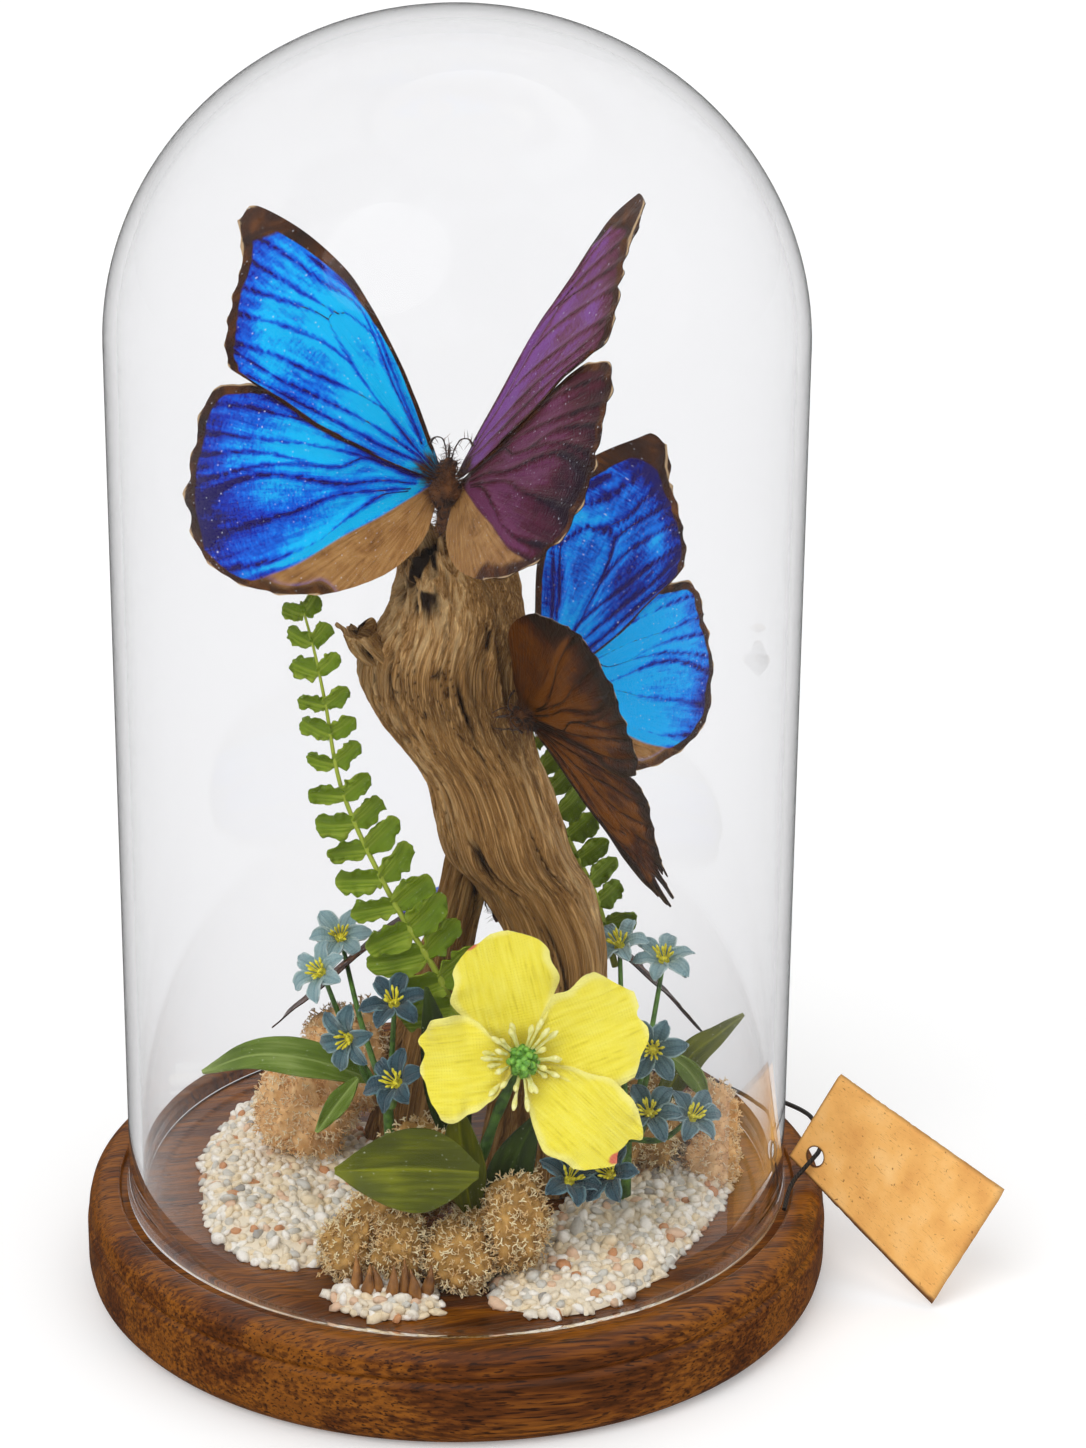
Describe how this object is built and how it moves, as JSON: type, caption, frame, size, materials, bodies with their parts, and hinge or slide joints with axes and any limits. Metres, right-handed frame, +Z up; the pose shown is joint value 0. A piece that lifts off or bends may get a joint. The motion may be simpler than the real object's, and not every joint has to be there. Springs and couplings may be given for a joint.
{
  "type": "glass dome display of mounted butterflies",
  "caption": "Glass bell dome on a turned wooden base, with mounted blue butterflies on driftwood among silk flowers, moss and gravel, and a card tag on a cord.",
  "frame": {"origin": "centre of the base's flat underside, on the dome's axis", "axes": "+Z up along the dome's axis, -Y towards the front of the display, +X to the right, where the tag lies"},
  "size_m": [0.1957, 0.1584, 0.2714],
  "materials": {
    "walnut": "dark walnut stain under satin lacquer",
    "glass": "clear, blown, polished",
    "driftwood": "weathered, bare",
    "insect_body": "dried, finely hairy",
    "blue_wing": "iridescent scales, satin",
    "purple_wing": "iridescent scales seen off their bright angle, satin",
    "brown_wing": "brown underside scales, satin",
    "yellow_silk": "matt silk cloth",
    "pistil": "moulded, bumpy",
    "blue_silk": "matt silk cloth",
    "stem": "moulded",
    "leaf": "coated silk cloth, satin",
    "fern": "moulded, satin",
    "moss": "dried, fibrous",
    "gravel": "natural stone chips",
    "kraft_card": "uncoated card",
    "cord": "waxed thread"
  },
  "bodies": {
    "root": {"base": "walnut", "glass_dome": "glass", "driftwood_trunk": "driftwood", "driftwood_rear_limb": "driftwood", "driftwood_stub": "driftwood", "top_butterfly_body": "insect_body", "top_butterfly_left_forewing": "blue_wing", "top_butterfly_left_hindwing": "blue_wing", "top_butterfly_right_forewing": "purple_wing", "top_butterfly_right_hindwing": "purple_wing", "side_butterfly_body": "insect_body", "side_butterfly_far_forewing": "blue_wing", "side_butterfly_far_hindwing": "blue_wing", "side_butterfly_near_forewing": "brown_wing", "side_butterfly_near_hindwing": "brown_wing", "rear_butterfly_body": "insect_body", "rear_butterfly_left_forewing": "brown_wing", "rear_butterfly_left_hindwing": "brown_wing", "rear_butterfly_right_forewing": "brown_wing", "rear_butterfly_right_hindwing": "brown_wing", "yellow_flower_centre": "pistil", "yellow_petal_top": "yellow_silk", "yellow_petal_right": "yellow_silk", "yellow_petal_lower": "yellow_silk", "yellow_petal_left": "yellow_silk", "yellow_flower_stem": "stem", "blue_flower_left_1": "blue_silk", "blue_flower_left_2": "blue_silk", "blue_flower_left_3": "blue_silk", "blue_flower_left_4": "blue_silk", "blue_flower_left_5": "blue_silk", "blue_flower_right_1": "blue_silk", "blue_flower_right_2": "blue_silk", "blue_flower_right_3": "blue_silk", "blue_flower_right_4": "blue_silk", "blue_flower_right_5": "blue_silk", "blue_flower_right_6": "blue_silk", "blue_flower_right_7": "blue_silk", "blue_spray_stem_left": "stem", "blue_spray_stem_right": "stem", "leaf_front_broad": "leaf", "leaf_left_long": "leaf", "leaf_left_small": "leaf", "leaf_inner_left": "leaf", "leaf_inner_front": "leaf", "leaf_inner_right": "leaf", "leaf_right_long": "leaf", "leaf_right_low": "leaf", "front_fern": "fern", "rear_fern": "fern", "moss_front": "moss", "moss_middle_left": "moss", "moss_back_left": "moss", "moss_right": "moss", "moss_far_right": "moss", "gravel_left": "gravel", "gravel_front": "gravel", "gravel_right": "gravel", "tag": "kraft_card", "tag_cord": "cord"}
  },
  "joints": []
}
